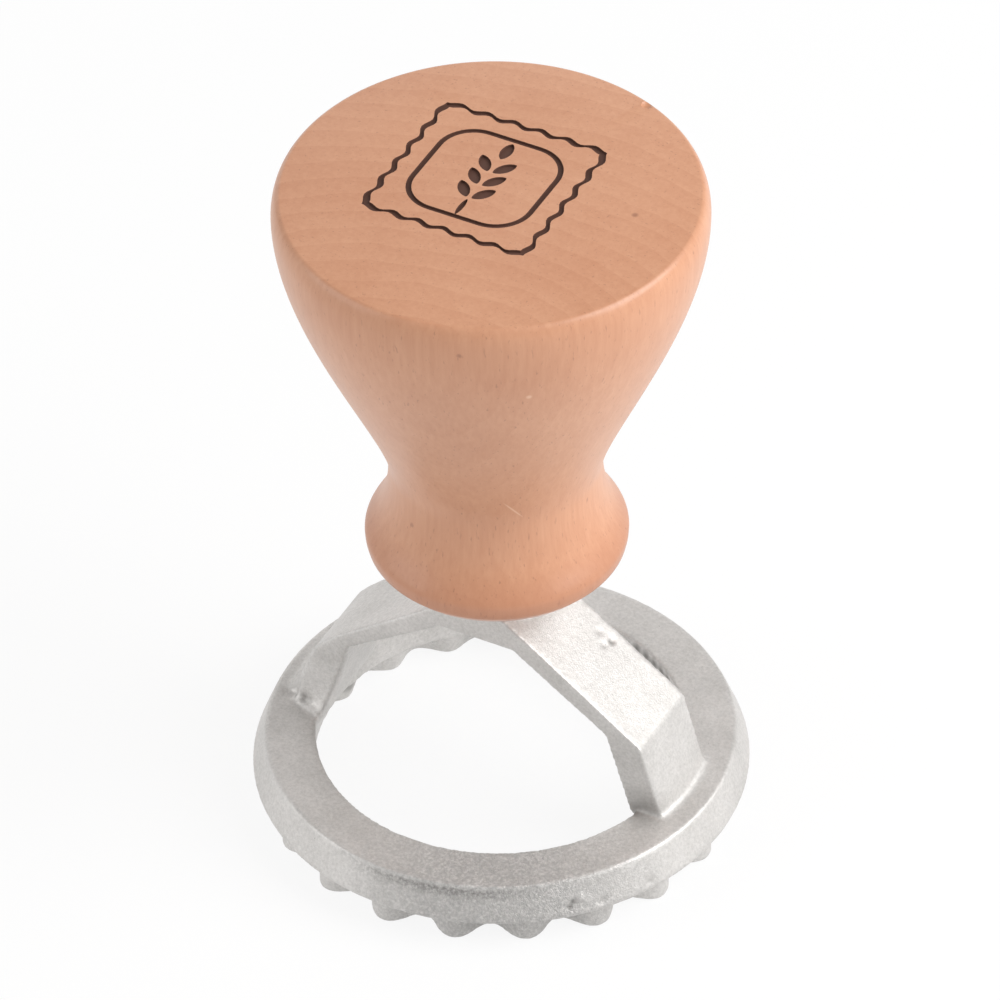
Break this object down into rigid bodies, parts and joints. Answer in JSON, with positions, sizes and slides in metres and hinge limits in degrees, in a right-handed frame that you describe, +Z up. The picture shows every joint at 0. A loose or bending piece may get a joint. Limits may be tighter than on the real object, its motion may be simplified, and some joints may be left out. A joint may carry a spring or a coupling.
{
  "type": "ravioli stamp",
  "caption": "Round ravioli stamp: a cast aluminium ring with a fluted cutting edge and an arched bridge, pressed down by a turned wooden knob handle.",
  "frame": {"origin": "middle of the circle that the fluted cutting edge stands on", "axes": "+Z up through the handle, +X along the bridge, -Y the side that the mark on the handle reads from"},
  "size_m": [0.0622, 0.0622, 0.0945],
  "materials": {
    "cast_aluminium": "as cast and bead blasted, fine grain, satin",
    "turned_wood": "sanded smooth and oiled, with a burnt line mark on the top",
    "plated_steel": "zinc plated"
  },
  "bodies": {
    "root": {"cast_head": "cast_aluminium", "handle": "turned_wood", "fixing_screw": "plated_steel"}
  },
  "joints": []
}
